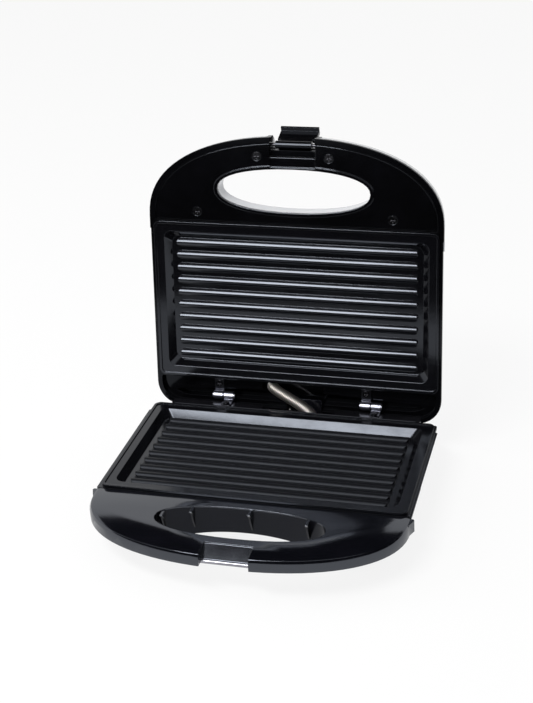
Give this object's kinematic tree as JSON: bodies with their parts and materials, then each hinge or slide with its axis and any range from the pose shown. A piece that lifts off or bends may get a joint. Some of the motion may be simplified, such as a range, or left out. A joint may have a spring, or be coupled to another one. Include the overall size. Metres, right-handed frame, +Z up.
{
  "type": "sandwich toaster",
  "caption": "Countertop sandwich toaster with two ribbed non-stick grill plates, a hinged lid, looped handles and a swing latch, resting open.",
  "frame": {"origin": "bottom centre of the bounding box with the lid open, on the plane the feet stand on", "axes": "+X to the user's right, +Y to the back, +Z up"},
  "size_m": [0.2304, 0.2578, 0.2434],
  "materials": {
    "black_plastic": "satin black moulding",
    "silver_plastic": "pale silver moulding",
    "plate_coating": "gloss black non-stick coating on cast aluminium",
    "steel": "plain steel",
    "dark_steel": "blackened steel",
    "reflector_sheet": "bright sheet",
    "rod_sheath": "heat-stained steel sheath",
    "conduit_steel": "coiled steel wire",
    "rubber": "matt",
    "ceramic": "pale heat-proof moulding",
    "lens_red": "clear red",
    "lens_green": "clear green",
    "liner": "fibre sleeve"
  },
  "bodies": {
    "base": {"base_housing": "black_plastic", "base_handle_cover": "black_plastic", "base_grill_plate": "plate_coating", "base_heating_rod": "rod_sheath", "base_reflector": "reflector_sheet", "base_plate_screws": "steel", "base_cover_screws": "dark_steel", "rubber_feet": "rubber", "inlet_bush": "rubber", "terminal_block": "ceramic", "latch_strike": "steel", "hinge_base_leaf_left": "steel", "hinge_base_leaf_right": "steel", "hinge_pins": "steel", "hinge_base_screws": "steel", "base_conduit_bush": "black_plastic", "conduit_coil": "conduit_steel", "conduit_liner": "liner"},
    "lid": {"lid_frame": "black_plastic", "lid_shell": "silver_plastic", "lid_handle_panel": "black_plastic", "lid_grill_plate": "plate_coating", "lid_heating_rod": "rod_sheath", "lid_reflector": "reflector_sheet", "lid_plate_screws": "steel", "lid_panel_screws": "dark_steel", "thermostat": "ceramic", "thermostat_screws": "steel", "power_lens": "lens_red", "ready_lens": "lens_green", "hinge_lid_leaf_left": "steel", "hinge_lid_leaf_right": "steel", "hinge_lid_screws": "steel", "lid_conduit_bush": "black_plastic", "latch_pin": "steel"},
    "latch": {"latch": "black_plastic"}
  },
  "joints": [
    {"name": "lid_hinge", "type": "hinge", "parent": "base", "child": "lid", "pos_m": [0, 0.07834, 0.0372], "axis": [1, 0, 0], "range_deg": [0, 96.5], "deforming": ["conduit_coil", "conduit_liner"]},
    {"name": "latch_pivot", "type": "hinge", "parent": "lid", "child": "latch", "pos_m": [0, 0.10631, 0.23591], "axis": [1, 0, 0], "range_deg": [0, 158]}
  ]
}
